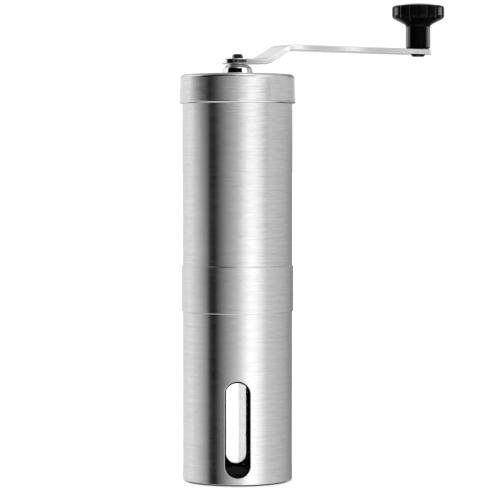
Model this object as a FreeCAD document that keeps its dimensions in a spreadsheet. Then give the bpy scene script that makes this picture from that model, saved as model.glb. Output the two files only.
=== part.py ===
import FreeCAD, Part
import Sketcher
import math
import os

# Slim hand-cranked coffee grinder, in millimetres.  +Z is up, the origin is the
# centre of the foot pad's underside, and the front window of the catch
# chamber looks along -Y.  The crank rests 34 degrees behind +X.

V = FreeCAD.Vector
doc = FreeCAD.newDocument("hand_grinder")

# ---------------------------------------------------------------- driving sizes
PARAMS = [
    # outer tubes
    ("tube_od", 50.3, "outer diameter of hopper tube and catch shell"),
    ("tube_wall", 0.5, "sheet thickness of the tubes"),
    ("tube_top", 182.6, "top edge of the hopper tube"),
    ("skirt_od", 51.3, "outer diameter of the swaged skirt"),
    ("skirt_id", 50.5, "inner diameter of the swaged skirt"),
    ("skirt_bot", 77.6, "lower edge of the skirt"),
    ("skirt_top", 99.0, "upper end of the skirt's step"),
    ("skirt_step", 0.3, "height of the step"),
    # catch chamber
    ("shell_bot", 0.6, "lower rim of the catch shell"),
    ("shell_top", 96.6, "upper edge of the catch shell"),
    ("shell_floor", 1.5, "underside of the recessed floor"),
    ("floor_thk", 0.6, "floor thickness"),
    ("rim_in", 22.8, "inner radius of the foot rim"),
    ("win_w", 11.5, "window slot width in the steel"),
    ("win_bot", 3.6, "lowest point of the window slot"),
    ("win_top", 47.4, "highest point of the window slot"),
    ("rear_x", -0.7, "sideways offset of the rear window"),
    ("liner_or", 24.57, "liner outer radius"),
    ("liner_ir", 23.77, "liner inner radius"),
    ("liner_bot", 2.15, "liner underside"),
    ("liner_floor", 2.95, "liner floor, top side"),
    ("liner_top", 71.0, "liner upper edge"),
    ("lwin_w", 11.1, "front window slot width in the liner"),
    ("lwin_bot", 3.9, "front liner window, lowest point"),
    ("lwin_top", 46.7, "front liner window, highest point"),
    ("rwin_w", 9.35, "rear window slot width in the liner"),
    ("rwin_bot", 4.5, "rear liner window, lowest point"),
    ("rwin_top", 46.3, "rear liner window, highest point"),
    ("sleeve_or", 23.72, "clear sleeve outer radius"),
    ("sleeve_thk", 0.5, "clear sheet thickness"),
    ("sleeve_bot", 3.0, "clear sleeve lower edge"),
    ("sleeve_top", 70.2, "clear sleeve upper edge"),
    ("lap_x", 0.42, "offset of the lapped edge from the rear centre line"),
    ("lap_deg", 30.0, "angle covered by the lap"),
    ("lap_gap", 0.15, "gap between the lapped layers"),
    ("pad_r", 22.55, "foot pad radius"),
    # lid
    ("lid_top", 186.0, "upper face of the lid"),
    ("lid_bot", 172.7, "lower edge of the lid"),
    ("lid_r_top", 26.1, "lid outer radius at the top, before rounding"),
    ("lid_r_bot", 26.42, "lid outer radius at the bottom"),
    ("lid_edge", 1.8, "rounding of the lid's top edge"),
    ("hem_r", 0.6, "rolled hem radius"),
    ("lid_hole", 4.6, "radius of the hole in the lid"),
    ("insert_ir", 25.25, "lid insert inner radius"),
    # crank collar on the lid
    ("collar_r", 7.1, "collar base radius"),
    ("collar_sh", 6.45, "collar shoulder radius"),
    ("collar_neck", 4.3, "collar top radius"),
    ("collar_bot", 186.12, "collar underside"),
    ("collar_mid", 189.1, "collar shoulder height"),
    ("collar_top", 190.7, "collar top face"),
    ("shank_r", 4.0, "collar shank radius"),
    ("collar_bore", 3.16, "collar bore radius"),
    # crank
    ("crank_z", 190.8, "underside of the crank at the hub"),
    ("crank_thk", 2.4, "strip thickness"),
    ("crank_rise", 7.1, "joggle height"),
    ("crank_len", 105.1, "hub axis to knob axis"),
    ("crank_r_hub", 7.3, "hub end radius in plan"),
    ("crank_r_end", 6.33, "knob end radius in plan"),
    ("bend_a", 12.6, "start of the joggle at the underside, from the hub axis"),
    ("bend_b", 25.3, "end of the joggle at the underside"),
    ("crank_deg", 34.0, "crank angle at rest"),
    # drive shaft
    ("shaft_r", 3.0, "shaft radius"),
    ("shaft_tip", 195.4, "top of the shaft"),
    ("penta_r", 2.55, "corner radius of the five-sided drive"),
    ("penta_bot", 188.0, "lower end of the five-sided drive"),
    ("flat_half", 2.2, "half width across the lower flats"),
    ("flat_top", 96.0, "upper end of the flats"),
    ("flat_bot", 84.0, "lower end of the flats"),
    ("stud_r", 2.0, "threaded stud radius"),
    ("stud_bot", 73.6, "end of the threaded stud"),
    ("thread_p", 0.8, "thread pitch"),
    # knob
    ("knob_r", 12.6, "knob head radius"),
    ("stem_r", 5.9, "knob stem radius"),
    ("knob_bot", 200.75, "stem lower end"),
    ("knob_top", 222.5, "knob crown"),
    ("crown_h", 1.15, "rise of the cap's dome"),
    ("cap_r", 10.1, "knob cap radius"),
    ("flutes", 16, "number of flutes"),
    ("flute_r", 1.25, "flute radius"),
    ("flute_at", 13.25, "flute centre, from the knob axis"),
    ("knob_deg", 40.66, "knob angle at rest"),
    ("pin_r", 2.8, "knob axle radius"),
    # mill
    ("house_or", 24.57, "burr housing outer radius"),
    ("house_top", 133.0, "funnel rim"),
    ("house_bot", 90.5, "housing lower face"),
    ("neck_r", 21.4, "housing neck outer radius"),
    ("seat_r", 19.06, "outer burr seat radius"),
    ("seat_top", 107.5, "outer burr seat shoulder"),
    ("hub_r", 6.5, "bearing hub radius"),
    ("bush_r", 4.0, "bush outer radius"),
    ("bush_bore", 3.06, "bush bore radius"),
    ("burr_bot", 88.5, "inner burr lower face"),
    ("burr_top", 106.5, "inner burr upper face"),
    ("ring_bot", 91.0, "outer burr lower face"),
    ("ring_top", 107.4, "outer burr upper face"),
    ("ring_or", 19.0, "outer burr outside radius"),
    ("adj_bot", 76.6, "adjuster wheel lower face"),
    ("adj_top", 85.1, "adjuster wheel upper face"),
    ("adj_r", 11.0, "adjuster wheel radius"),
]

sheet = doc.addObject("Spreadsheet::Sheet", "Params")
for n, (alias, value, note) in enumerate(PARAMS, start=1):
    sheet.set("A%d" % n, alias)
    sheet.set("B%d" % n, str(value))
    sheet.setAlias("B%d" % n, alias)
    sheet.set("C%d" % n, note)
doc.recompute()


class Dim:
    """A size: its number now, and the cell expression that drives it."""

    def __init__(self, value, text):
        self.value, self.text = float(value), text

    @staticmethod
    def of(x):
        return x if isinstance(x, Dim) else Dim(x, "%.6f" % x)

    def __add__(self, o):
        o = Dim.of(o)
        return Dim(self.value + o.value, "(%s + %s)" % (self.text, o.text))

    def __sub__(self, o):
        o = Dim.of(o)
        return Dim(self.value - o.value, "(%s - %s)" % (self.text, o.text))

    def __mul__(self, o):
        o = Dim.of(o)
        return Dim(self.value * o.value, "(%s * %s)" % (self.text, o.text))

    def __truediv__(self, o):
        o = Dim.of(o)
        return Dim(self.value / o.value, "(%s / %s)" % (self.text, o.text))

    def __radd__(self, o):
        return Dim.of(o) + self

    def __rsub__(self, o):
        return Dim.of(o) - self

    def __rmul__(self, o):
        return Dim.of(o) * self


class Cells:
    pass


c = Cells()
for alias, value, note in PARAMS:
    setattr(c, alias, Dim(sheet.get(alias), "Params." + alias))

parts = []


# ------------------------------------------------------------------- drawing aids
def part(label):
    body = doc.addObject("PartDesign::Body", label)
    body.Label = label
    parts.append(body)
    return body


def origin(body, role):
    return next(o for o in body.Origin.OriginFeatures if o.Role == role)


def sketch(body, role, name, lift=None, aside=None):
    sk = body.newObject("Sketcher::SketchObject", name)
    sk.AttachmentSupport = [(origin(body, role), "")]
    sk.MapMode = "FlatFace"
    if lift is not None:
        lift = Dim.of(lift)
        sk.AttachmentOffset = FreeCAD.Placement(V(0, 0, lift.value), FreeCAD.Rotation())
        sk.setExpression("AttachmentOffset.Base.z", lift.text)
    if aside is not None:
        sk.AttachmentOffset = FreeCAD.Placement(V(aside.value, 0, 0), FreeCAD.Rotation())
        sk.setExpression("AttachmentOffset.Base.x", aside.text)
    return sk


def hold(sk, kind, args, size):
    size = Dim.of(size)
    k = sk.addConstraint(Sketcher.Constraint(kind, *args, size.value))
    if "Params" in size.text:
        sk.setExpression("Constraints[%d]" % k, size.text)


def pin_point(sk, g, pos, x, y):
    x, y = Dim.of(x), Dim.of(y)
    if abs(x.value) < 1e-9:
        sk.addConstraint(Sketcher.Constraint("PointOnObject", g, pos, -2))
    else:
        hold(sk, "DistanceX", (-1, 1, g, pos), x)
    if abs(y.value) < 1e-9:
        sk.addConstraint(Sketcher.Constraint("PointOnObject", g, pos, -1))
    else:
        hold(sk, "DistanceY", (-1, 1, g, pos), y)


def outline(sk, points):
    """A closed outline.  A point (x, y, r) is reached by an arc of radius r:
    r > 0 turns left on the way, r < 0 turns right."""
    pts = [(Dim.of(p[0]), Dim.of(p[1]), Dim.of(p[2]) if len(p) > 2 else None) for p in points]
    n = len(pts)
    first = sk.GeometryCount
    ends = []
    for i in range(n):
        a, b = pts[i], pts[(i + 1) % n]
        p, q = V(a[0].value, a[1].value, 0), V(b[0].value, b[1].value, 0)
        r = b[2]
        if r is None:
            g = sk.addGeometry(Part.LineSegment(p, q), False)
            ends.append((g, 1, 2, None))
            continue
        chord = q - p
        half = chord.Length / 2.0
        rad = max(abs(r.value), half)
        side = V(-chord.y, chord.x, 0).normalize()
        h = math.sqrt(max(rad * rad - half * half, 0.0))
        s = 1.0 if r.value > 0 else -1.0
        centre = (p + q) * 0.5 + side * (h * s)
        a0 = math.atan2(p.y - centre.y, p.x - centre.x)
        a1 = math.atan2(q.y - centre.y, q.x - centre.x)
        circle = Part.Circle(centre, V(0, 0, 1), rad)
        if s > 0:
            g = sk.addGeometry(Part.ArcOfCircle(circle, a0, a1), False)
            ends.append((g, 1, 2, r))
        else:
            g = sk.addGeometry(Part.ArcOfCircle(circle, a1, a0), False)
            ends.append((g, 2, 1, r))
    for i in range(n):
        g, s, e, r = ends[i]
        g2, s2, e2, r2 = ends[(i + 1) % n]
        sk.addConstraint(Sketcher.Constraint("Coincident", g, e, g2, s2))
    for i in range(n):
        g, s, e, r = ends[i]
        pin_point(sk, g, s, pts[i][0], pts[i][1])
        if r is not None:
            hold(sk, "Radius", (g,), Dim(abs(r.value), r.text if r.value > 0 else "(0 - %s)" % r.text))
    return sk


def ring(sk, x, y, r):
    """A circle of radius r at (x, y)."""
    x, y, r = Dim.of(x), Dim.of(y), Dim.of(r)
    g = sk.addGeometry(Part.Circle(V(x.value, y.value, 0), V(0, 0, 1), r.value), False)
    hold(sk, "Radius", (g,), r)
    pin_point(sk, g, 3, x, y)
    return sk


def slot_outline(sk, low, high, width):
    low, high, width = Dim.of(low), Dim.of(high), Dim.of(width)
    r = width / 2
    pts = [(r, low + r), (r, high - r), (Dim.of(0.0) - r, high - r), (Dim.of(0.0) - r, low + r)]
    xr, yl, xl, yh = r.value, (low + r).value, -r.value, (high - r).value
    g0 = sk.addGeometry(Part.LineSegment(V(xr, yl, 0), V(xr, yh, 0)), False)
    g1 = sk.addGeometry(Part.ArcOfCircle(Part.Circle(V(0, yh, 0), V(0, 0, 1), r.value), 0, math.pi), False)
    g2 = sk.addGeometry(Part.LineSegment(V(xl, yh, 0), V(xl, yl, 0)), False)
    g3 = sk.addGeometry(Part.ArcOfCircle(Part.Circle(V(0, yl, 0), V(0, 0, 1), r.value), math.pi, 2 * math.pi), False)
    for a, b in ((g0, g1), (g1, g2), (g2, g3), (g3, g0)):
        sk.addConstraint(Sketcher.Constraint("Tangent", a, 2, b, 1))
    sk.addConstraint(Sketcher.Constraint("PointOnObject", g1, 3, -2))
    sk.addConstraint(Sketcher.Constraint("Vertical", g0))
    hold(sk, "Radius", (g1,), r)
    hold(sk, "DistanceY", (-1, 1, g1, 3), high - r)
    hold(sk, "DistanceY", (-1, 1, g3, 3), low + r)
    return sk


def set_size(obj, prop, size):
    size = Dim.of(size)
    setattr(obj, prop, int(size.value) if prop == "Occurrences" else size.value)
    if "Params" in size.text:
        obj.setExpression(prop, size.text)


def turn(body, name, points, angle=360.0):
    """A turned solid: points are (radius, height)."""
    sk = outline(sketch(body, "XZ_Plane", name + "_profile"), points)
    f = body.newObject("PartDesign::Revolution", name)
    f.Profile = sk
    f.ReferenceAxis = (sk, ["V_Axis"])
    set_size(f, "Angle", angle)
    sk.Visibility = False
    doc.recompute()
    return f


def groove(body, name, points):
    before = body.Shape.Volume
    sk = outline(sketch(body, "XZ_Plane", name + "_profile"), points)
    f = body.newObject("PartDesign::Groove", name)
    f.Profile = sk
    f.ReferenceAxis = (sk, ["V_Axis"])
    f.Angle = 360.0
    doc.recompute()
    assert body.Shape.Volume < before - 1e-3, name + " cut nothing"
    return f


def pad(body, name, sk, length, reverse=False, midplane=False):
    f = body.newObject("PartDesign::Pad", name)
    f.Profile = sk
    set_size(f, "Length", length)
    f.Reversed = reverse
    f.Midplane = midplane
    doc.recompute()
    return f


def pocket(body, name, sk, length=None, reverse=False, midplane=False):
    before = body.Shape.Volume
    f = body.newObject("PartDesign::Pocket", name)
    f.Profile = sk
    if length is None:
        f.Type = "ThroughAll"
        f.Midplane = True
    else:
        set_size(f, "Length", length)
        f.Midplane = midplane
    f.Reversed = reverse
    doc.recompute()
    assert body.Shape.Volume < before - 1e-4, name + " cut nothing"
    return f


def around(body, name, feature, count):
    f = body.newObject("PartDesign::PolarPattern", name)
    f.Originals = [feature]
    f.Axis = (origin(body, "Z_Axis"), [""])
    f.Angle = 360.0
    set_size(f, "Occurrences", count)
    body.Tip = f
    doc.recompute()
    return f


def along(body, name, feature, length, count):
    f = body.newObject("PartDesign::LinearPattern", name)
    f.Originals = [feature]
    f.Direction = (origin(body, "Z_Axis"), [""])
    set_size(f, "Length", length)
    f.Occurrences = count
    body.Tip = f
    doc.recompute()
    return f


def edges_where(shape, test):
    return ["Edge%d" % (i + 1) for i, e in enumerate(shape.Edges) if test(e)]


def circle_at(e, r, z, tol=0.02):
    """Is this edge a level circle of radius r at height z, about the axis?"""
    cu = e.Curve
    return (
        isinstance(cu, Part.Circle)
        and abs(cu.Radius - r) < tol
        and abs(cu.Center.z - z) < tol
        and abs(cu.Center.x) < tol
        and abs(cu.Center.y) < tol
    )


def soften(body, name, test, size, chamfer=False):
    base = body.Tip
    found = edges_where(base.Shape, test)
    assert found, name + " found no edge"
    f = body.newObject("PartDesign::Chamfer" if chamfer else "PartDesign::Fillet", name)
    f.Base = (base, found)
    set_size(f, "Size" if chamfer else "Radius", size)
    doc.recompute()
    assert "Invalid" not in f.State and not f.Shape.isNull() and f.Shape.isValid(), name
    return f


# ================================================================ catch chamber
R = c.tube_od / 2
RI = R - c.tube_wall

# deep-drawn steel shell with a recessed floor and two opposite windows
b = part("lower_shell")
turn(
    b,
    "shell",
    [
        (0, c.shell_floor),
        (c.rim_in, c.shell_floor),
        (c.rim_in, c.shell_bot),
        (R, c.shell_bot),
        (R, c.shell_top),
        (RI, c.shell_top),
        (RI, c.shell_floor + c.floor_thk),
        (0, c.shell_floor + c.floor_thk),
    ],
)
soften(b, "foot_rounding", lambda e: circle_at(e, R.value, c.shell_bot.value), 0.2)
soften(b, "mouth_rounding", lambda e: circle_at(e, R.value, 96.6) or circle_at(e, RI.value, 96.6), 0.2)
sk = slot_outline(sketch(b, "XZ_Plane", "window_outline"), c.win_bot, c.win_top, c.win_w)
pocket(b, "front_window", sk, R + 2.0, reverse=True)
sk = slot_outline(sketch(b, "XZ_Plane", "rear_window_outline", aside=c.rear_x), c.win_bot, c.win_top, c.win_w)
pocket(b, "rear_window", sk, R + 2.0)


def on_outer_window(e):
    """Edges of the windows that lie on the outer skin."""
    pts = [v.Point for v in e.Vertexes] + [e.valueAt(0.5 * (e.FirstParameter + e.LastParameter))]
    return all(
        abs(math.hypot(p.x, p.y) - R.value) < 0.01 and abs(p.x) < 6.6 and 3.5 < p.z < 47.5 for p in pts
    )


soften(b, "window_rounding", on_outer_window, 0.22)

# black plastic liner cup with its own, slightly smaller windows
b = part("chamber_liner")
turn(
    b,
    "liner",
    [
        (0, c.liner_bot),
        (c.liner_or, c.liner_bot),
        (c.liner_or, c.liner_top),
        (c.liner_ir, c.liner_top),
        (c.liner_ir, c.liner_floor),
        (0, c.liner_floor),
    ],
)
soften(b, "liner_mouth", lambda e: circle_at(e, c.liner_ir.value, 71.0), 0.5, chamfer=True)
sk = slot_outline(sketch(b, "XZ_Plane", "liner_window_outline"), c.lwin_bot, c.lwin_top, c.lwin_w)
pocket(b, "liner_front_window", sk, R + 2.0, reverse=True)
sk = slot_outline(sketch(b, "XZ_Plane", "liner_rear_outline", aside=c.rear_x), c.rwin_bot, c.rwin_top, c.rwin_w)
pocket(b, "liner_rear_window", sk, R + 2.0)

# clear sheet rolled into a sleeve, its free edge lapped inside at the rear
b = part("window_sleeve")
S0 = c.sleeve_or
S1 = S0 - c.sleeve_thk
turn(
    b,
    "sleeve",
    [(S1, c.sleeve_bot), (S0, c.sleeve_bot), (S0, c.sleeve_top), (S1, c.sleeve_top)],
)
S2 = S1 - c.lap_gap


def lap_layer(name, outer, angle):
    sk = sketch(b, "XZ_Plane", name + "_profile")
    outline(
        sk,
        [
            (S2 - c.sleeve_thk, c.sleeve_bot + 0.3),
            (outer, c.sleeve_bot + 0.3),
            (outer, c.sleeve_top - 0.3),
            (S2 - c.sleeve_thk, c.sleeve_top - 0.3),
        ],
    )
    f = b.newObject("PartDesign::Revolution", name)
    f.Profile = sk
    f.ReferenceAxis = (sk, ["V_Axis"])
    set_size(f, "Angle", angle)
    doc.recompute()


lap_layer("lap_fold", S1 + 0.02, 3.0)
lap_layer("lap", S2, c.lap_deg)
lap_at = 90.0 - math.degrees(math.asin(c.lap_x.value / S1.value))
b.Placement = FreeCAD.Placement(V(0, 0, 0), FreeCAD.Rotation(V(0, 0, 1), lap_at - c.lap_deg.value))

# soft foot pad with ringed grooves
b = part("base_pad")
turn(
    b,
    "pad_disc",
    [(0, 0), (c.pad_r, 0), (c.pad_r, c.shell_floor - 0.02), (0, c.shell_floor - 0.02)],
)
soften(b, "pad_edge", lambda e: circle_at(e, 22.55, 0.0), 0.35)
for k, rr in enumerate((7.0, 10.5, 14.0, 17.5)):
    groove(b, "ring_groove_%d" % k, [(rr, 0), (rr + 1.2, 0), (rr + 0.9, 0.5), (rr + 0.3, 0.5)])

# ================================================================ hopper tube
b = part("hopper_tube")
turn(
    b,
    "tube",
    [
        (c.skirt_id / 2, c.skirt_bot),
        (c.skirt_od / 2, c.skirt_bot),
        (c.skirt_od / 2, c.skirt_top - c.skirt_step),
        (R, c.skirt_top),
        (R, c.tube_top),
        (RI, c.tube_top),
        (RI, c.skirt_top + 0.2),
        (c.skirt_id / 2, c.skirt_top - c.skirt_step - 0.3),
    ],
)
soften(b, "skirt_lip", lambda e: circle_at(e, 25.65, 77.6), 0.3)
soften(b, "step_rounding", lambda e: circle_at(e, 25.65, 98.7) or circle_at(e, R.value, 99.0), 0.25)
soften(b, "tube_mouth", lambda e: circle_at(e, R.value, c.tube_top.value) or circle_at(e, RI.value, c.tube_top.value), 0.2)

# ================================================================ mill
# plastic housing: thin funnel, neck for the outer burr and a three-armed bearing bridge
b = part("burr_housing")
turn(
    b,
    "funnel",
    [
        (c.seat_r, c.house_bot),
        (c.neck_r, c.house_bot),
        (c.neck_r, c.skirt_top + 0.9),
        (c.house_or, c.skirt_top + 0.9),
        (c.house_or, c.skirt_top + 3.9),
        (c.neck_r, c.skirt_top + 3.9),
        (c.neck_r, c.seat_top + 2.0),
        (17.4, c.seat_top + 3.8),
        (c.house_or, c.house_top - 3.4),
        (c.house_or, c.house_top),
        (c.house_or - 0.8, c.house_top),
        (c.house_or - 1.6, c.house_top - 1.6),
        (15.2, c.seat_top + 4.6),
        (15.2, c.seat_top),
        (c.seat_r, c.seat_top),
    ],
)
sk = sketch(b, "XY_Plane", "arm_plan", c.seat_top + 6.5)
outline(sk, [(-1.7, 3.0), (1.7, 3.0), (1.7, 19.6), (-1.7, 19.6)])
arm = pad(b, "arm", sk, 9.5)
around(b, "arms", arm, 3)
sk = ring(sketch(b, "XY_Plane", "hub_plan", c.seat_top + 4.2), 0, 0, c.hub_r)
pad(b, "hub", sk, 14.3)
sk = ring(sketch(b, "XY_Plane", "bush_bore_plan", c.seat_top), 0, 0, c.bush_r)
pocket(b, "bush_bore", sk, 24.0, reverse=True)
soften(b, "hub_edge", lambda e: circle_at(e, 6.5, 126.0), 0.8)
soften(b, "neck_edge", lambda e: circle_at(e, c.neck_r.value, 90.5), 0.6)

b = part("shaft_bush")
turn(
    b,
    "bush",
    [
        (c.bush_bore, 111.6),
        (c.bush_r - 0.02, 111.6),
        (c.bush_r - 0.02, 126.05),
        (5.6, 126.05),
        (5.6, 127.0),
        (c.bush_bore, 127.0),
    ],
)
soften(b, "bush_edge", lambda e: circle_at(e, 5.6, 127.0), 0.3)


def star(count, tip, root, z, turn_deg, lean):
    """A toothed outline about the axis; lean sets how far the tooth leans."""
    pts = []
    for k in range(count):
        a = math.radians(360.0 * k / count + turn_deg)
        d = math.radians(360.0 * lean / count)
        pts.append(V(tip * math.cos(a), tip * math.sin(a), z))
        pts.append(V(root * math.cos(a + d), root * math.sin(a + d), z))
    return Part.makePolygon(pts + [pts[0]])


def toothed(count, rows, lean):
    return Part.makeLoft([star(count, t, r, z, a, lean) for t, r, z, a in rows], True, True)


def cell(alias):
    return float(sheet.get(alias))


# fixed ceramic ring burr: coarse feeding flutes above, fine teeth below
z0, z1, zo = cell("ring_bot"), cell("ring_top"), cell("ring_or")
blank = Part.makeCylinder(zo, z1 - z0, V(0, 0, z0))
blank = blank.makeChamfer(0.6, [e for e in blank.Edges if isinstance(e.Curve, Part.Circle)])
fine = toothed(
    36, [(14.1, 13.2, z0 - 1.0, -4.0), (13.75, 12.95, z0, 0.0), (13.3, 12.55, z0 + 5.0, 14.0)], 0.35
)
coarse = toothed(
    6,
    [(13.6, 12.2, z0 + 4.2, 0.0), (14.9, 12.7, z0 + 10.0, 24.0), (16.4, 13.6, z1 + 0.6, 52.0)],
    0.72,
)
ring_shape = blank.cut(fine).cut(coarse)
b = doc.addObject("Part::Feature", "outer_burr")
b.Label = "outer_burr"
b.Shape = ring_shape.Solids[0] if len(ring_shape.Solids) == 1 else ring_shape
b.Placement = FreeCAD.Placement()
parts.append(b)

# turning ceramic cone burr
z0, z1 = cell("burr_bot"), cell("burr_top")
low = toothed(
    36,
    [(12.55, 11.8, z0, 0.0), (12.15, 11.4, z0 + 3.0, -8.0), (11.75, 10.9, z0 + 7.6, -20.0)],
    0.35,
)
high = toothed(
    6,
    [(11.8, 9.2, z0 + 7.0, 0.0), (10.6, 7.9, z0 + 11.5, -26.0), (9.2, 7.0, z1, -58.0)],
    0.3,
)
cone = low.fuse(high)
cone = cone.cut(Part.makeCylinder(6.0, 3.0, V(0, 0, z1 - 3.0)))
cone = cone.cut(Part.makeCylinder(3.4, z1 - z0 + 2.0, V(0, 0, z0 - 1.0)))
socket = Part.makeBox(9.1, 6.1, 4.1, V(-4.55, -3.05, z0 - 0.1))
cone = cone.cut(socket)
b = doc.addObject("Part::Feature", "inner_burr")
b.Label = "inner_burr"
b.Shape = cone.Solids[0] if len(cone.Solids) == 1 else cone
b.Placement = FreeCAD.Placement(V(0, 0, 0), FreeCAD.Rotation(V(0, 0, 1), cell("crank_deg")))
parts.append(b)

# plastic drive plate that keys the cone to the shaft's flats
b = part("burr_carrier")
turn(
    b,
    "plate",
    [(0, 85.5), (9.4, 85.5), (9.4, c.burr_bot - 0.02), (0, c.burr_bot - 0.02)],
)
soften(b, "plate_edge", lambda e: circle_at(e, 9.4, 85.5), 0.6)
sk = sketch(b, "XY_Plane", "key_plan", c.burr_bot - 0.5)
outline(sk, [(-4.5, -3.0), (4.5, -3.0), (4.5, 3.0), (-4.5, 3.0)])
pad(b, "key", sk, 4.3)
sk = sketch(b, "XY_Plane", "drive_hole_plan", 80.0)
fh = c.flat_half + 0.1
rr = c.shaft_r + 0.1
fx = math.sqrt(rr.value**2 - fh.value**2)
outline(
    sk,
    [
        (fx, 0 - fh),
        (fx, fh, rr),
        (-fx, fh),
        (-fx, 0 - fh, rr),
    ],
)
pocket(b, "drive_hole", sk, 16.0, reverse=True)
sk = ring(sketch(b, "XY_Plane", "nib_plan", 85.22), 7.2, 0, 0.7)
nib = pad(b, "nib", sk, 0.6)
around(b, "nibs", nib, 2)
b.Placement = FreeCAD.Placement(V(0, 0, 0), FreeCAD.Rotation(V(0, 0, 1), c.crank_deg.value))

# click wheel under the cone, with a brass nut in it
b = part("adjuster_wheel")
turn(
    b,
    "wheel",
    [(0, c.adj_bot), (c.adj_r, c.adj_bot), (c.adj_r, c.adj_top), (0, c.adj_top)],
)
sk = ring(sketch(b, "XY_Plane", "grip_plan", c.adj_bot), c.adj_r + 1.2, 0, 2.2)
grip = pocket(b, "grip", sk)
around(b, "grips", grip, 12)


def upright(e, lo, hi):
    d = e.Vertexes[0].Point - e.Vertexes[-1].Point
    p = e.CenterOfMass
    return len(e.Vertexes) == 2 and math.hypot(d.x, d.y) < 0.01 and abs(d.z) > 1.0 and lo < math.hypot(p.x, p.y) < hi


soften(b, "grip_rounding", lambda e: upright(e, 10.0, 11.5), 0.5)
groove(b, "wheel_cut", [(8.4, c.adj_bot), (12.5, c.adj_bot), (12.5, c.adj_bot + 2.6), (11.2, c.adj_bot + 2.6)])
groove(b, "wheel_crown", [(10.2, c.adj_top), (12.5, c.adj_top), (12.5, c.adj_top - 0.8), (11.0, c.adj_top - 0.8)])
sk = ring(sketch(b, "XY_Plane", "dimple_plan", c.adj_top), 7.2, 0, 0.85)
dimple = pocket(b, "dimple", sk, 0.5)
around(b, "dimples", dimple, 12)
sk = ring(sketch(b, "XY_Plane", "shaft_clear_plan", c.adj_top), 0, 0, 3.3)
pocket(b, "shaft_clear", sk, 20.0)
sk = sketch(b, "XY_Plane", "nut_pocket_plan", c.adj_bot)
hexr = 4.1
outline(sk, [(hexr * math.cos(math.radians(60 * k)), hexr * math.sin(math.radians(60 * k))) for k in range(6)])
pocket(b, "nut_pocket", sk, 4.6, reverse=True)

b = part("adjuster_nut")
sk = sketch(b, "XY_Plane", "nut_plan", c.adj_bot + 0.4)
hexr = 4.06
outline(sk, [(hexr * math.cos(math.radians(60 * k)), hexr * math.sin(math.radians(60 * k))) for k in range(6)])
pad(b, "nut", sk, 4.1)
sk = ring(sketch(b, "XY_Plane", "nut_bore_plan", c.adj_bot), 0, 0, c.stud_r + 0.08)
pocket(b, "nut_bore", sk)
soften(b, "nut_lead", lambda e: circle_at(e, 2.08, 77.0), 0.4, chamfer=True)

# ================================================================ drive shaft
b = part("drive_shaft")
turn(
    b,
    "rod",
    [
        (0, c.stud_bot),
        (c.stud_r, c.stud_bot),
        (c.stud_r, c.flat_bot),
        (c.shaft_r, c.flat_bot),
        (c.shaft_r, c.shaft_tip),
        (0, c.shaft_tip),
    ],
)
soften(b, "stud_lead", lambda e: circle_at(e, 2.0, 73.6), 0.5, chamfer=True)
groove(
    b,
    "thread_ring",
    [(2.05, c.stud_bot + 0.9), (2.05, c.stud_bot + 1.6), (1.58, c.stud_bot + 1.25)],
)
along(b, "thread", b.Tip, c.thread_p * 10, 11)
groove(b, "clip_groove", [(2.5, 127.25), (3.2, 127.25), (3.2, 127.95), (2.5, 127.95)])
# two flats for the drive plate
sk = sketch(b, "XY_Plane", "flats_plan", c.flat_bot)
outline(sk, [(-4.0, c.flat_half), (4.0, c.flat_half), (4.0, 4.0), (-4.0, 4.0)])
flat = pocket(b, "flat", sk, c.flat_top - c.flat_bot, reverse=True)
around(b, "flats", flat, 2)
# five-sided top end
sk = sketch(b, "XY_Plane", "penta_plan", c.penta_bot)
apo = c.penta_r.value * math.cos(math.radians(36.0))
half = 3.4
outline(sk, [(-half, apo), (half, apo), (half, 4.2), (-half, 4.2)])
side = pocket(b, "penta_side", sk, c.shaft_tip - c.penta_bot + 1.0, reverse=True)
around(b, "penta", side, 5)
groove(
    b,
    "tip_chamfer",
    [(1.75, c.shaft_tip), (2.9, c.shaft_tip), (2.9, c.shaft_tip - 0.9), (2.6, c.shaft_tip - 0.8)],
)
b.Placement = FreeCAD.Placement(V(0, 0, 0), FreeCAD.Rotation(V(0, 0, 1), c.crank_deg.value))


def spring_ring(label, r_in, r_out, z_low, z_high, gap):
    body = part(label)
    turn(body, "disc", [(r_in, z_low), (r_out, z_low), (r_out, z_high), (r_in, z_high)])
    s = sketch(body, "XY_Plane", "gap_plan", z_low)
    outline(s, [(0.0, 0 - gap / 2), (r_out + 1.0, 0 - gap / 2), (r_out + 1.0, gap / 2), (0.0, gap / 2)])
    pocket(body, "gap", s)
    return body


spring_ring("shaft_clip", 2.55, 5.2, 127.3, 127.9, 3.4)

b = part("thrust_washer")
turn(b, "washer", [(3.12, 110.9), (6.2, 110.9), (6.2, 111.5), (3.12, 111.5)])
soften(b, "washer_edge", lambda e: circle_at(e, 6.2, 110.9), 0.2)

# compression spring between the bearing bridge and the cone
helix = doc.addObject("Part::Helix", "spring_line")
helix.Pitch = 1.55
helix.Radius = 4.6
helix.Height = 6.2
helix.Placement = FreeCAD.Placement(V(0, 0, 104.1), FreeCAD.Rotation())
wire = doc.addObject("Part::RegularPolygon", "spring_wire")
wire.Polygon = 12
wire.Circumradius = 0.45
wire.Placement = FreeCAD.Placement(V(4.6, 0, 104.1), FreeCAD.Rotation(V(1, 0, 0), 90))
doc.recompute()
spring = doc.addObject("Part::Sweep", "burr_spring")
spring.Label = "burr_spring"
spring.Sections = [wire]
spring.Spine = (helix, ["Edge%d" % (i + 1) for i in range(len(helix.Shape.Edges))])
spring.Solid = True
spring.Frenet = True
doc.recompute()
parts.append(spring)

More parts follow.
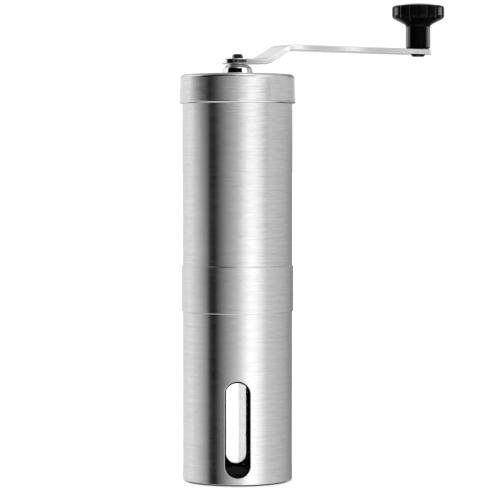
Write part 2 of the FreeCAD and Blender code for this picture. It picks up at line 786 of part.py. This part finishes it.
# ================================================================ lid
b = part("lid_shell")
turn(
    b,
    "cap",
    [
        (c.lid_hole, c.lid_top - c.tube_wall),
        (c.lid_r_top - c.tube_wall, c.lid_top - c.tube_wall),
        (c.lid_r_bot - c.tube_wall, c.lid_bot + c.hem_r),
        (c.lid_r_bot, c.lid_bot + c.hem_r),
        (c.lid_r_top, c.lid_top),
        (c.lid_hole, c.lid_top),
    ],
)
soften(b, "lid_rounding", lambda e: circle_at(e, c.lid_r_top.value, 186.0), c.lid_edge)
soften(b, "lid_inside", lambda e: circle_at(e, c.lid_r_top.value - 0.5, 185.5), c.lid_edge - c.tube_wall)
sk = ring(
    sketch(b, "XZ_Plane", "hem_profile"), c.lid_r_bot - c.hem_r + 0.14, c.lid_bot + c.hem_r, c.hem_r
)
f = b.newObject("PartDesign::Revolution", "hem")
f.Profile = sk
f.ReferenceAxis = (sk, ["V_Axis"])
f.Angle = 360.0
doc.recompute()

b = part("lid_insert")
turn(
    b,
    "insert",
    [
        (6.05, c.lid_top - 1.5),
        (24.0, c.lid_top - 1.5),
        (c.insert_ir, c.lid_top - 2.8),
        (c.insert_ir, c.lid_bot + 1.5),
        (25.82, c.lid_bot + 1.5),
        (25.52, c.lid_top - 2.4),
        (23.7, c.lid_top - 0.55),
        (6.05, c.lid_top - 0.55),
    ],
)

b = part("lid_bush")
turn(
    b,
    "bush",
    [
        (c.shank_r + 0.08, c.lid_top - 3.3),
        (c.lid_hole - 0.03, c.lid_top - 3.3),
        (c.lid_hole - 0.03, c.lid_top - 1.55),
        (6.0, c.lid_top - 1.55),
        (6.0, c.lid_top - 0.55),
        (c.lid_hole - 0.03, c.lid_top - 0.55),
        (c.lid_hole - 0.03, c.lid_top - 0.02),
        (c.shank_r + 0.08, c.lid_top - 0.02),
    ],
)

# polished collar that turns in the lid under the crank
b = part("crank_collar")
turn(
    b,
    "collar",
    [
        (c.collar_bore, 181.4),
        (c.shank_r, 181.4),
        (c.shank_r, c.collar_bot),
        (c.collar_r, c.collar_bot),
        (c.collar_r, c.collar_bot + 0.6),
        (c.collar_sh, c.collar_mid),
        (c.collar_neck, c.collar_top),
        (c.collar_bore, c.collar_top),
    ],
)
soften(b, "collar_shoulder", lambda e: circle_at(e, c.collar_sh.value, c.collar_mid.value), 0.7)
soften(b, "collar_base", lambda e: circle_at(e, 7.1, 186.72), 0.3)
groove(b, "collar_groove", [(3.66, 181.95), (4.3, 181.95), (4.3, 182.55), (3.66, 182.55)])
spring_ring("collar_clip", 3.7, 5.6, 182.0, 182.5, 4.2)

# ================================================================ crank and knob
turned = FreeCAD.Rotation(V(0, 0, 1), c.crank_deg.value)
b = part("crank_arm")
z0, t, up = c.crank_z, c.crank_thk, c.crank_rise


def thicken(path, thk):
    """Corners of the upper side of a strip whose underside follows the path."""
    pts = [(p[0].value, p[1].value) for p in path]
    way = [math.atan2(q[1] - p[1], q[0] - p[0]) for p, q in zip(pts, pts[1:])]
    upper = []
    for i, p in enumerate(path):
        a0, a1 = way[max(i - 1, 0)], way[min(i, len(way) - 1)]
        m, d = 0.5 * (a0 + a1), 0.5 * (a1 - a0)
        upper.append((p[0] - math.sin(m) * thk / math.cos(d), p[1] + math.cos(m) * thk / math.cos(d)))
    return upper


under = [
    (Dim.of(-9.0), z0),
    (c.bend_a, z0),
    (c.bend_b, z0 + up),
    (c.crank_len + 9.0, z0 + up),
]
over = thicken(under, t.value)
sk = sketch(b, "XZ_Plane", "side_view")
outline(sk, under + over[::-1])
pad(b, "strip", sk, 20.0, midplane=True)


def bend_edge(*corners):
    """Picks the cross-wise edges of the strip at these corners of the side view."""

    def test(e):
        p = e.CenterOfMass
        return (
            any(abs(p.x - q[0].value) < 0.02 and abs(p.z - q[1].value) < 0.02 for q in corners)
            and abs(p.y) < 0.02
            and e.Length > 15.0
        )

    return test


soften(b, "bend_inside", bend_edge(over[1], under[2]), 9.0)
soften(b, "bend_outside", bend_edge(under[1], over[2]), t + 9.0)

# plan view: all that lies outside the tapered, round-ended outline is cut away
L, ra, rb = c.crank_len, c.crank_r_hub, c.crank_r_end
sn = (ra.value - rb.value) / L.value
cs = math.sqrt(1.0 - sn * sn)
sk = sketch(b, "XY_Plane", "plan_view", 180.0)
outline(sk, [(-30.0, -30.0), (130.0, -30.0), (130.0, 30.0), (-30.0, 30.0)])
outline(
    sk,
    [
        (ra * sn, 0 - ra * cs, ra),
        (L + rb * sn, 0 - rb * cs),
        (L + rb, 0.0, rb),
        (L + rb * sn, rb * cs, rb),
        (ra * sn, ra * cs),
        (0 - ra, 0.0, ra),
    ],
)
pocket(b, "plan_trim", sk)


def on_plan(p):
    x, y = p.x, abs(p.y)
    if x < ra.value * sn:
        d = math.hypot(x, y) - ra.value
    elif x > L.value + rb.value * sn:
        d = math.hypot(x - L.value, y) - rb.value
    else:
        d = x * sn + y * cs - ra.value
    return abs(d) < 0.01


def rim_edge(e):
    pts = [v.Point for v in e.Vertexes] + [e.valueAt(0.5 * (e.FirstParameter + e.LastParameter))]
    level = abs(pts[0].x - pts[1].x) + abs(pts[0].y - pts[1].y) > 0.05
    return level and all(on_plan(p) for p in pts)


soften(b, "strip_edges", rim_edge, 0.35)
sk = sketch(b, "XY_Plane", "drive_hole_plan", 185.0)
hr = (c.penta_r.value * math.cos(math.radians(36.0)) + 0.1) / math.cos(math.radians(36.0))
outline(
    sk,
    [(hr * math.cos(math.radians(54 + 72 * k)), hr * math.sin(math.radians(54 + 72 * k))) for k in range(5)],
)
pocket(b, "drive_hole", sk)
sk = ring(sketch(b, "XY_Plane", "pin_hole_plan", 185.0), c.crank_len, 0, 2.05)
pocket(b, "pin_hole", sk)
b.Placement = FreeCAD.Placement(V(0, 0, 0), turned)
b.setExpression("Placement.Rotation.Angle", "Params.crank_deg")

knob_at = turned.multVec(V(c.crank_len.value, 0, 0))


def at_knob(body, turn_deg=c.crank_deg):
    body.Placement = FreeCAD.Placement(knob_at, FreeCAD.Rotation(V(0, 0, 1), turn_deg.value))
    body.setExpression("Placement.Base.x", "Params.crank_len * cos(Params.crank_deg * 1 deg)")
    body.setExpression("Placement.Base.y", "Params.crank_len * sin(Params.crank_deg * 1 deg)")


ARM_TOP = c.crank_z + c.crank_rise + c.crank_thk
ARM_LOW = c.crank_z + c.crank_rise

# riveted axle for the knob
b = part("knob_pin")
turn(
    b,
    "axle",
    [
        (0, ARM_LOW - 1.0),
        (2.6, ARM_LOW - 1.0),
        (3.4, ARM_LOW - 0.35),
        (3.4, ARM_LOW),
        (2.04, ARM_LOW),
        (2.04, ARM_TOP),
        (c.pin_r, ARM_TOP),
        (c.pin_r, 216.0),
        (1.5, 216.0),
        (1.5, 216.9),
        (2.2, 216.9),
        (2.2, 217.5),
        (1.9, 217.8),
        (0, 217.8),
    ],
)
at_knob(b)

b = part("knob_washer")
turn(b, "washer", [(c.pin_r + 0.01, ARM_TOP), (5.2, ARM_TOP), (5.2, ARM_TOP + 0.3), (c.pin_r + 0.01, ARM_TOP + 0.3)])
at_knob(b)

b = spring_ring("knob_clip", 1.52, 4.4, 216.2, 216.8, 2.4)
at_knob(b)

# fluted knob with a domed cap let into its head
b = part("knob")
turn(
    b,
    "knob_solid",
    [
        (c.pin_r + 0.08, c.knob_bot),
        (c.stem_r - 0.6, c.knob_bot),
        (c.stem_r, c.knob_bot + 0.6),
        (c.stem_r, 212.05),
        (11.1, 214.75),
        (c.knob_r, 216.5, 2.2),
        (c.knob_r, c.knob_top - 2.4),
        (c.knob_r - 1.4, c.knob_top - 1.1, 1.6),
        (c.cap_r + 0.05, c.knob_top - 1.15),
        (c.cap_r + 0.05, 218.6),
        (4.9, 218.6),
        (4.9, 215.9),
        (c.pin_r + 0.08, 215.9),
    ],
)
soften(b, "neck_rounding", lambda e: circle_at(e, c.stem_r.value, 212.05), 1.5)
sk = ring(sketch(b, "XY_Plane", "flute_plan", 212.0), c.flute_at, 0, c.flute_r)
flute = pocket(b, "flute", sk, 12.0, reverse=True)
around(b, "flute_ring", flute, c.flutes)
at_knob(b, c.knob_deg)

b = part("knob_cap")
crown = c.crown_h
turn(
    b,
    "cap",
    [
        (0, 218.62),
        (c.cap_r, 218.62),
        (c.cap_r, c.knob_top - crown),
        (0, c.knob_top, (c.cap_r * c.cap_r + crown * crown) / (crown * 2.0)),
    ],
)
at_knob(b, c.knob_deg)

# ---------------------------------------------------------------- checks and export
doc.recompute()
for o in doc.Objects:
    bad = [s for s in o.State if s in ("Invalid", "Error")]
    if bad:
        raise RuntimeError("%s: %s" % (o.Label, o.State))
os.makedirs("parts", exist_ok=True)
for o in parts:
    s = o.Shape
    if s.isNull() or not s.isValid():
        raise RuntimeError(o.Label + ": shape is null or not valid")
    if len(s.Solids) != 1:
        raise RuntimeError("%s: %d solids" % (o.Label, len(s.Solids)))
    s.exportStep("parts/" + o.Label + ".step")
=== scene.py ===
import math

import bpy
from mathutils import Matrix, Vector

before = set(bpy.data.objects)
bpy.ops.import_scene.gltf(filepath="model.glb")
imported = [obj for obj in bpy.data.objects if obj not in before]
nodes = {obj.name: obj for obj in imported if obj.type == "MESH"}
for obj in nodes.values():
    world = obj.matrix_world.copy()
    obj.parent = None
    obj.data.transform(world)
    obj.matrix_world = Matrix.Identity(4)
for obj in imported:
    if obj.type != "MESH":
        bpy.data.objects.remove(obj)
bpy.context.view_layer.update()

scene = bpy.context.scene


# ------------------------------------------------------------------ node helpers
class Graph:
    """A small builder for one material's node tree."""

    def __init__(self, name):
        self.mat = bpy.data.materials.new(name)
        self.mat.use_nodes = True
        self.tree = self.mat.node_tree
        self.tree.nodes.clear()
        self.out = self.add("ShaderNodeOutputMaterial")
        self.bsdf = self.add("ShaderNodeBsdfPrincipled")
        self.join(self.bsdf.outputs["BSDF"], self.out.inputs["Surface"])
        self.coord = self.add("ShaderNodeTexCoord").outputs["Object"]

    def add(self, kind, **props):
        n = self.tree.nodes.new(kind)
        for k, v in props.items():
            setattr(n, k, v)
        return n

    def join(self, a, b):
        self.tree.links.new(a, b)

    def set(self, **values):
        for k, v in values.items():
            self.bsdf.inputs[k.replace("_", " ")].default_value = v

    def stretch(self, scale, source=None):
        m = self.add("ShaderNodeMapping")
        m.inputs["Scale"].default_value = scale
        self.join(source or self.coord, m.inputs["Vector"])
        return m.outputs["Vector"]

    def noise(self, scale, vector=None, detail=2.0, rough=0.5):
        n = self.add("ShaderNodeTexNoise")
        n.inputs["Scale"].default_value = scale
        n.inputs["Detail"].default_value = detail
        n.inputs["Roughness"].default_value = rough
        self.join(vector or self.coord, n.inputs["Vector"])
        return n.outputs["Fac"]

    def math(self, op, a, b=None, c=None, clamp=False):
        n = self.add("ShaderNodeMath", operation=op, use_clamp=clamp)
        for i, v in enumerate((a, b, c)):
            if v is None:
                continue
            if isinstance(v, (int, float)):
                n.inputs[i].default_value = v
            else:
                self.join(v, n.inputs[i])
        return n.outputs[0]

    def remap(self, value, a, b, lo, hi, clamp=True):
        n = self.add("ShaderNodeMapRange", clamp=clamp)
        for k, v in (("From Min", a), ("From Max", b), ("To Min", lo), ("To Max", hi)):
            n.inputs[k].default_value = v
        self.join(value, n.inputs["Value"])
        return n.outputs["Result"]

    def blend(self, fac, a, b):
        n = self.add("ShaderNodeMix", data_type="RGBA")
        if isinstance(fac, (int, float)):
            n.inputs["Factor"].default_value = fac
        else:
            self.join(fac, n.inputs["Factor"])
        for sock, v in ((n.inputs[6], a), (n.inputs[7], b)):
            if isinstance(v, (tuple, list)):
                sock.default_value = (*v, 1.0)
            else:
                self.join(v, sock)
        return n.outputs[2]

    def xyz(self):
        n = self.add("ShaderNodeSeparateXYZ")
        self.join(self.coord, n.inputs[0])
        return n.outputs

    def bump(self, height, strength, distance):
        n = self.add("ShaderNodeBump")
        n.inputs["Strength"].default_value = strength
        n.inputs["Distance"].default_value = distance
        self.join(height, n.inputs["Height"])
        self.join(n.outputs["Normal"], self.bsdf.inputs["Normal"])
        return n

    def colour(self, socket):
        self.join(socket, self.bsdf.inputs["Base Color"])

    def rough(self, socket):
        self.join(socket, self.bsdf.inputs["Roughness"])


def grey(v):
    return (v, v, v * 1.005)


# ------------------------------------------------------------------ materials
def brushed_round(name, tone, rough, grain=1.0, crown=0.0):
    """Steel brushed round the axis: short level strokes, a few deeper ones, faint handling marks.
    With a crown, the flat top is left duller than the side."""
    g = Graph(name)
    g.set(Metallic=1.0, Anisotropic=0.5, Anisotropic_Rotation=0.25)
    tan = g.add("ShaderNodeTangent", direction_type="RADIAL", axis="Z")
    g.join(tan.outputs[0], g.bsdf.inputs["Tangent"])
    fine = g.noise(1.0, g.stretch((280, 280, 3400)), 2.0, 0.55)
    mid = g.noise(1.0, g.stretch((130, 130, 1450)), 2.0, 0.5)
    long = g.noise(1.0, g.stretch((30, 30, 1900)), 1.0, 0.5)
    cloud = g.noise(55.0, None, 2.0, 0.5)
    lines = g.math("ADD", g.math("MULTIPLY", fine, 0.5), g.math("MULTIPLY", mid, 0.5))
    tint = g.math("ADD", g.math("MULTIPLY", lines, 0.75), g.math("MULTIPLY", long, 0.25))
    shade = g.remap(tint, 0.3, 0.7, 0.0, 1.0)
    lo, hi = tone * (1.0 - 0.10 * grain), tone * (1.0 + 0.10 * grain)
    g.colour(g.blend(shade, grey(lo), grey(hi)))
    r = g.math("ADD", g.remap(lines, 0.3, 0.7, -0.04, 0.04), g.remap(cloud, 0.35, 0.65, rough - 0.02, rough + 0.02))
    if crown:
        box = g.add("ShaderNodeSeparateXYZ")
        g.join(g.add("ShaderNodeTexCoord").outputs["Generated"], box.inputs[0])
        r = g.math("ADD", r, g.remap(box.outputs[2], 0.94, 0.985, 0.0, crown))
    g.rough(r)
    g.bump(lines, 0.08 * grain, 0.00006)
    return g.mat


def polished(name, tone, rough, along=None, face=0.0, sway=None):
    """Polished steel with faint swirl marks and a slight colour drift.
    With a face value, the level upper faces are duller than the rest.
    With a sway (heading, start, pitch, depth), the metal is slightly wavy along
    that heading, as a pressed strip is."""
    g = Graph(name)
    g.set(Metallic=1.0)
    swirl = g.noise(1.0, g.stretch(along or (900, 900, 900)), 3.0, 0.6)
    cloud = g.noise(70.0, None, 2.0, 0.5)
    g.colour(g.blend(g.remap(cloud, 0.3, 0.7, 0.0, 1.0), grey(tone * 0.96), grey(tone * 1.03)))
    r = g.math("ADD", g.remap(swirl, 0.3, 0.7, -0.02, 0.03), g.remap(cloud, 0.3, 0.7, rough - 0.01, rough + 0.02))
    if face:
        side = g.add("ShaderNodeSeparateXYZ")
        g.join(g.add("ShaderNodeTexCoord").outputs["Normal"], side.inputs[0])
        r = g.math("ADD", r, g.remap(side.outputs[2], 0.86, 0.95, 0.0, face))
    g.rough(r)
    marks = g.bump(swirl, 0.03, 0.00003)
    if sway:
        heading, start, pitch, depth = sway
        x, y, _ = g.xyz()
        run = g.math("ADD", g.math("MULTIPLY", x, math.cos(heading)), g.math("MULTIPLY", y, math.sin(heading)))
        turn = g.remap(run, start, start + 2 * pitch, 0.0, 4.0 * math.pi)
        wave = g.math("SUBTRACT", g.math("MULTIPLY", g.math("SINE", turn), 1.4), turn)
        press = g.add("ShaderNodeBump")
        press.inputs["Strength"].default_value = 1.0
        press.inputs["Distance"].default_value = depth
        g.join(wave, press.inputs["Height"])
        g.join(press.outputs["Normal"], marks.inputs["Normal"])
    return g.mat


def moulded(name, tone, rough, grain=2600.0, depth=0.12, spread=0.35, level=0.5, vary=0.04):
    """Moulded plastic: fine spark-erosion grain and a slow change of tone and gloss."""
    g = Graph(name)
    g.set(Specular_IOR_Level=level)
    tex = g.noise(grain, None, 2.0, 0.6)
    cloud = g.noise(120.0, None, 2.0, 0.5)
    lo = tuple(v * (1.0 - spread) for v in tone)
    hi = tuple(v * (1.0 + spread) for v in tone)
    g.colour(g.blend(g.remap(cloud, 0.3, 0.7, 0.0, 1.0), lo, hi))
    g.rough(g.math("ADD", g.remap(tex, 0.3, 0.7, -vary, vary), g.remap(cloud, 0.3, 0.7, rough - vary, rough + vary)))
    g.bump(tex, depth, 0.00005)
    return g.mat


def ceramic(name):
    g = Graph(name)
    g.set(Specular_IOR_Level=0.5)
    speck = g.noise(1800.0, None, 3.0, 0.6)
    cloud = g.noise(140.0, None, 2.0, 0.5)
    g.colour(g.blend(g.remap(cloud, 0.3, 0.7, 0.0, 1.0), (0.80, 0.78, 0.73), (0.88, 0.87, 0.83)))
    g.rough(g.remap(speck, 0.3, 0.7, 0.42, 0.58))
    g.bump(speck, 0.15, 0.00006)
    return g.mat


def metal(name, lo, hi, rough, stretch):
    """Turned or drawn metal with tool marks along one direction."""
    g = Graph(name)
    g.set(Metallic=1.0)
    marks = g.noise(1.0, g.stretch(stretch), 2.0, 0.55)
    cloud = g.noise(160.0, None, 2.0, 0.5)
    g.colour(g.blend(g.remap(cloud, 0.3, 0.7, 0.0, 1.0), lo, hi))
    g.rough(g.math("ADD", g.remap(marks, 0.3, 0.7, -0.05, 0.06), g.remap(cloud, 0.3, 0.7, rough - 0.02, rough + 0.02)))
    g.bump(marks, 0.08, 0.00005)
    return g.mat


def clear_sheet(name):
    """Clear rolled plastic with faint rub marks along its height."""
    g = Graph(name)
    g.set(Transmission_Weight=1.0, IOR=1.08, Specular_IOR_Level=0.05)
    rub = g.noise(1.0, g.stretch((1400, 1400, 60)), 2.0, 0.5)
    haze = g.noise(90.0, None, 2.0, 0.5)
    g.colour(g.blend(g.remap(haze, 0.3, 0.7, 0.0, 1.0), (0.665, 0.668, 0.668), (0.690, 0.693, 0.693)))
    g.rough(g.math("ADD", g.remap(rub, 0.4, 0.7, 0.0, 0.035), g.remap(haze, 0.3, 0.7, 0.01, 0.03)))
    return g.mat


def rubber(name):
    g = Graph(name)
    g.set(Specular_IOR_Level=0.3)
    pore = g.noise(2200.0, None, 3.0, 0.65)
    cloud = g.noise(90.0, None, 2.0, 0.5)
    g.colour(g.blend(g.remap(cloud, 0.3, 0.7, 0.0, 1.0), (0.018, 0.018, 0.018), (0.034, 0.034, 0.033)))
    g.rough(g.remap(pore, 0.3, 0.7, 0.68, 0.86))
    g.bump(pore, 0.25, 0.00008)
    return g.mat


tube_steel = brushed_round("tube_steel", 0.62, 0.215)
lid_steel = brushed_round("lid_steel", 0.62, 0.215, 1.5, 0.32)
arm_steel = polished(
    "arm_steel", 0.80, 0.06, (500, 500, 500), 0.40, (math.radians(34.0), 0.0245, 0.0370, 0.00007)
)
collar_chrome = polished("collar_chrome", 0.82, 0.05)
shaft_steel = metal("shaft_steel", (0.014, 0.014, 0.0142), (0.026, 0.026, 0.0262), 0.24, (200, 200, 5000))
spring_steel = metal("spring_steel", (0.46, 0.46, 0.47), (0.58, 0.58, 0.59), 0.28, (900, 900, 900))
brass = metal("brass_turned", (0.62, 0.44, 0.17), (0.76, 0.57, 0.26), 0.26, (300, 300, 5000))
black_plastic = moulded("black_plastic", (0.014, 0.014, 0.014), 0.46)
liner_plastic = moulded("liner_plastic", (0.004, 0.004, 0.004), 0.7, 2600.0, 0.12, 0.35, 0.04)
knob_plastic = moulded("knob_plastic", (0.0008, 0.0008, 0.00085), 0.10, 2400.0, 0.01, 0.3, 0.06, 0.015)
white_plastic = moulded("white_plastic", (0.78, 0.78, 0.75), 0.42, 2600.0, 0.1, 0.04)
pad_rubber = rubber("pad_rubber")
burr_ceramic = ceramic("burr_ceramic")
window_clear = clear_sheet("window_clear")

LOOKS = {
    "lower_shell": tube_steel,
    "hopper_tube": tube_steel,
    "lid_shell": lid_steel,
    "crank_arm": arm_steel,
    "crank_collar": collar_chrome,
    "drive_shaft": shaft_steel,
    "shaft_clip": spring_steel,
    "thrust_washer": shaft_steel,
    "burr_spring": spring_steel,
    "collar_clip": spring_steel,
    "knob_pin": shaft_steel,
    "knob_washer": shaft_steel,
    "knob_clip": spring_steel,
    "chamber_liner": liner_plastic,
    "burr_housing": black_plastic,
    "lid_insert": black_plastic,
    "burr_carrier": black_plastic,
    "adjuster_wheel": black_plastic,
    "lid_bush": white_plastic,
    "knob": knob_plastic,
    "knob_cap": knob_plastic,
    "window_sleeve": window_clear,
    "outer_burr": burr_ceramic,
    "inner_burr": burr_ceramic,
    "adjuster_nut": brass,
    "shaft_bush": brass,
    "base_pad": pad_rubber,
}
for name, obj in nodes.items():
    obj.data.materials.clear()
    obj.data.materials.append(LOOKS[name])

# ------------------------------------------------------------------ studio
FLOOR_Z = -0.00005


def floor_piece(name, rings, reach, specular):
    """A flat ring of floor; the near piece is a little glossy, the far piece matt."""
    n = 96
    verts = [(r * math.cos(2 * math.pi * k / n), r * math.sin(2 * math.pi * k / n), FLOOR_Z) for r in rings for k in range(n)]
    faces = [(k, (k + 1) % n, n + (k + 1) % n, n + k) for k in range(n)] if len(rings) == 2 else [tuple(range(n))]
    faces = [f[::-1] for f in faces] if len(rings) == 2 else faces
    mesh = bpy.data.meshes.new(name)
    mesh.from_pydata(verts, [], faces)
    obj = bpy.data.objects.new(name, mesh)
    scene.collection.objects.link(obj)
    g = Graph(name)
    g.set(Specular_IOR_Level=specular)
    g.colour(g.blend(g.noise(reach), (0.86, 0.86, 0.86), (0.88, 0.88, 0.88)))
    g.rough(g.remap(g.noise(reach * 4.0), 0.3, 0.7, 0.08, 0.12))
    mesh.materials.append(g.mat)
    obj.visible_glossy = False


floor_piece("studio_floor", [0.064], 3.0, 0.25)
floor_piece("studio_floor_far", [0.064, 40.0], 1.0, 0.0)

# Soft studio: pale walls all round, a soft box to the right of the camera, a
# dark flag to its left, dark bars in front and above, a dim ceiling.
world = bpy.data.worlds.new("studio")
scene.world = world
world.use_nodes = True
wt = world.node_tree
wt.nodes.clear()


def wn(kind, **props):
    n = wt.nodes.new(kind)
    for k, v in props.items():
        setattr(n, k, v)
    return n


def wmath(op, a, b=None, clamp=False):
    n = wn("ShaderNodeMath", operation=op, use_clamp=clamp)
    for i, v in enumerate((a, b)):
        if v is None:
            continue
        if isinstance(v, (int, float)):
            n.inputs[i].default_value = v
        else:
            wt.links.new(v, n.inputs[i])
    return n.outputs[0]


def wstep(value, lo, hi):
    n = wn("ShaderNodeMapRange", interpolation_type="SMOOTHSTEP")
    for k, v in (("From Min", lo), ("From Max", hi), ("To Min", 0.0), ("To Max", 1.0)):
        n.inputs[k].default_value = v
    wt.links.new(value, n.inputs["Value"])
    return n.outputs["Result"]


def wmix(fac, a, b):
    n = wn("ShaderNodeMix", data_type="RGBA")
    wt.links.new(fac, n.inputs["Factor"])
    for sock, v in ((n.inputs[6], a), (n.inputs[7], b)):
        if isinstance(v, float):
            sock.default_value = (v, v, v, 1.0)
        else:
            wt.links.new(v, sock)
    return n.outputs[2]


def walls(stops):
    """A level panorama: (degrees from the camera, positive to its right; brightness)."""
    r = wn("ShaderNodeValToRGB")
    r.color_ramp.interpolation = "LINEAR"
    els = r.color_ramp.elements
    for i, (deg, v) in enumerate(stops):
        at = deg / 360.0 + 0.5
        e = els[i] if i < 2 else els.new(at)
        e.position = at
        e.color = (v, v, v, 1.0)
    wt.links.new(pos, r.inputs[0])
    return r.outputs["Color"]


coord = wn("ShaderNodeTexCoord")
sep = wn("ShaderNodeSeparateXYZ")
wt.links.new(coord.outputs["Generated"], sep.inputs[0])
back = wmath("MULTIPLY", sep.outputs[1], -1.0)
turn = wmath("ARCTAN2", sep.outputs[0], back)
pos = wmath("ADD", wmath("MULTIPLY", turn, 0.5 / math.pi), 0.5)
level = walls(
    [
        (-180, 0.42),
        (-150, 0.58),
        (-115, 0.70),
        (-86, 0.52),
        (-68, 0.27),
        (-60, 0.02),
        (-47, 0.0),
        (-39, 0.09),
        (0, 0.55),
        (24, 1.11),
        (38, 1.08),
        (65, 0.56),
        (110, 0.40),
        (150, 0.20),
        (170, 0.22),
        (180, 0.42),
    ]
)
bar = walls(
    [
        (-180, 0.60),
        (-112, 0.70),
        (-104, 0.45),
        (-94, 0.0),
        (66, 0.0),
        (72, 0.42),
        (95, 0.45),
        (180, 0.60),
    ]
)
edge = walls(
    [
        (-180, 0.60),
        (-100, 0.80),
        (-86, 0.65),
        (-78, 0.0),
        (69.2, 0.0),
        (69.7, 1.02),
        (70.5, 0.98),
        (71.2, 0.66),
        (73.2, 0.42),
        (95, 0.45),
        (180, 0.60),
    ]
)
high = walls(
    [
        (-180, 0.42),
        (-150, 0.58),
        (-115, 0.70),
        (-100, 0.25),
        (-88, 0.0),
        (-58, 0.0),
        (-40, 0.13),
        (0, 0.57),
        (24, 1.16),
        (38, 1.12),
        (65, 0.56),
        (110, 0.55),
        (150, 0.28),
        (170, 0.26),
        (180, 0.42),
    ]
)
flag = walls(
    [
        (-180, 0.50),
        (-120, 0.80),
        (-90, 0.70),
        (-80, 0.0),
        (36, 0.0),
        (46, 1.10),
        (70, 1.10),
        (90, 0.30),
        (150, 0.25),
        (180, 0.50),
    ]
)
brow = walls(
    [
        (-180, 0.45),
        (-120, 0.70),
        (-92, 0.40),
        (-82, 0.0),
        (-16, 0.0),
        (-2, 0.45),
        (24, 1.16),
        (38, 1.12),
        (65, 0.56),
        (110, 0.55),
        (150, 0.28),
        (180, 0.45),
    ]
)
up = sep.outputs[2]
tall = wmix(wstep(up, 0.024, 0.030), level, bar)
tall = wmix(wstep(up, 0.039, 0.041), tall, edge)
tall = wmix(wstep(up, 0.064, 0.070), tall, high)
tall = wmix(wstep(up, 0.34, 0.36), tall, flag)
tall = wmix(wstep(up, 0.55, 0.59), tall, brow)
tall = wmix(wstep(up, 0.74, 0.80), tall, high)
lofty = wmath("MULTIPLY", wstep(up, 0.55, 0.80), wstep(sep.outputs[1], -0.25, 0.15))
dome = wmix(lofty, tall, 0.38)
low = wmix(wstep(sep.outputs[1], 0.10, 0.30), 0.85, 0.04)
dome = wmix(wstep(wmath("MULTIPLY", up, -1.0), 0.40, 0.60), dome, low)
bg_env = wn("ShaderNodeBackground")
wt.links.new(dome, bg_env.inputs["Color"])
bg_env.inputs["Strength"].default_value = 1.6
bg_cam = wn("ShaderNodeBackground")
bg_cam.inputs["Color"].default_value = (1.0, 1.0, 1.0, 1.0)
bg_cam.inputs["Strength"].default_value = 1.05
path = wn("ShaderNodeLightPath")
mix = wn("ShaderNodeMixShader")
wt.links.new(path.outputs["Is Camera Ray"], mix.inputs[0])
wt.links.new(bg_env.outputs[0], mix.inputs[1])
wt.links.new(bg_cam.outputs[0], mix.inputs[2])
wout = wn("ShaderNodeOutputWorld")
wt.links.new(mix.outputs[0], wout.inputs["Surface"])

# overhead soft light for the floor
lamp = bpy.data.lights.new("overhead", "SUN")
lamp.energy = 6.6
lamp.angle = math.radians(120.0)
lamp_obj = bpy.data.objects.new("overhead", lamp)
lamp_obj.location = (0.0, 0.0, 2.2)
lamp_obj.visible_glossy = False
lamp_obj.visible_camera = False
scene.collection.objects.link(lamp_obj)

# two strip lamps beside the knob, for the glints on its flutes and stem
only = bpy.data.collections.new("strip_lit")
for name in ("knob", "knob_cap"):
    only.objects.link(nodes[name])
KNOB = Vector((0.0871, 0.0588, 0.2100))
for name, deg, watts in (("strip_left", -114.0, 0.8), ("strip_right", 106.0, 0.8)):
    light = bpy.data.lights.new(name, "AREA")
    light.shape = "RECTANGLE"
    light.size, light.size_y = 0.62, 0.05
    light.energy = watts
    strip = bpy.data.objects.new(name, light)
    a = math.radians(deg)
    out = Vector((math.sin(a), -math.cos(a), 0.06))
    strip.location = KNOB + 0.6 * out
    strip.rotation_euler = (-out).to_track_quat("-Z", "Y").to_euler()
    strip.visible_camera = False
    strip.light_linking.receiver_collection = only
    scene.collection.objects.link(strip)

# ------------------------------------------------------------------ camera
FOCAL_PX, FRAME_PX = 2376.0, 500.0
cam_data = bpy.data.cameras.new("camera")
cam_data.sensor_width = 36.0
cam_data.lens = FOCAL_PX / FRAME_PX * 36.0
cam_data.clip_start, cam_data.clip_end = 0.05, 100.0
cam = bpy.data.objects.new("camera", cam_data)
scene.collection.objects.link(cam)
cam.location = (0.0, -1.090, 0.1447)
yaw = math.atan2(12.5, FOCAL_PX)
pitch = math.atan2(85.0, FOCAL_PX)
aim = Vector((math.sin(yaw) * math.cos(pitch), math.cos(yaw) * math.cos(pitch), -math.sin(pitch)))
cam.rotation_euler = aim.to_track_quat("-Z", "Y").to_euler()
scene.camera = cam

scene.view_settings.view_transform = "Standard"
scene.view_settings.look = "None"
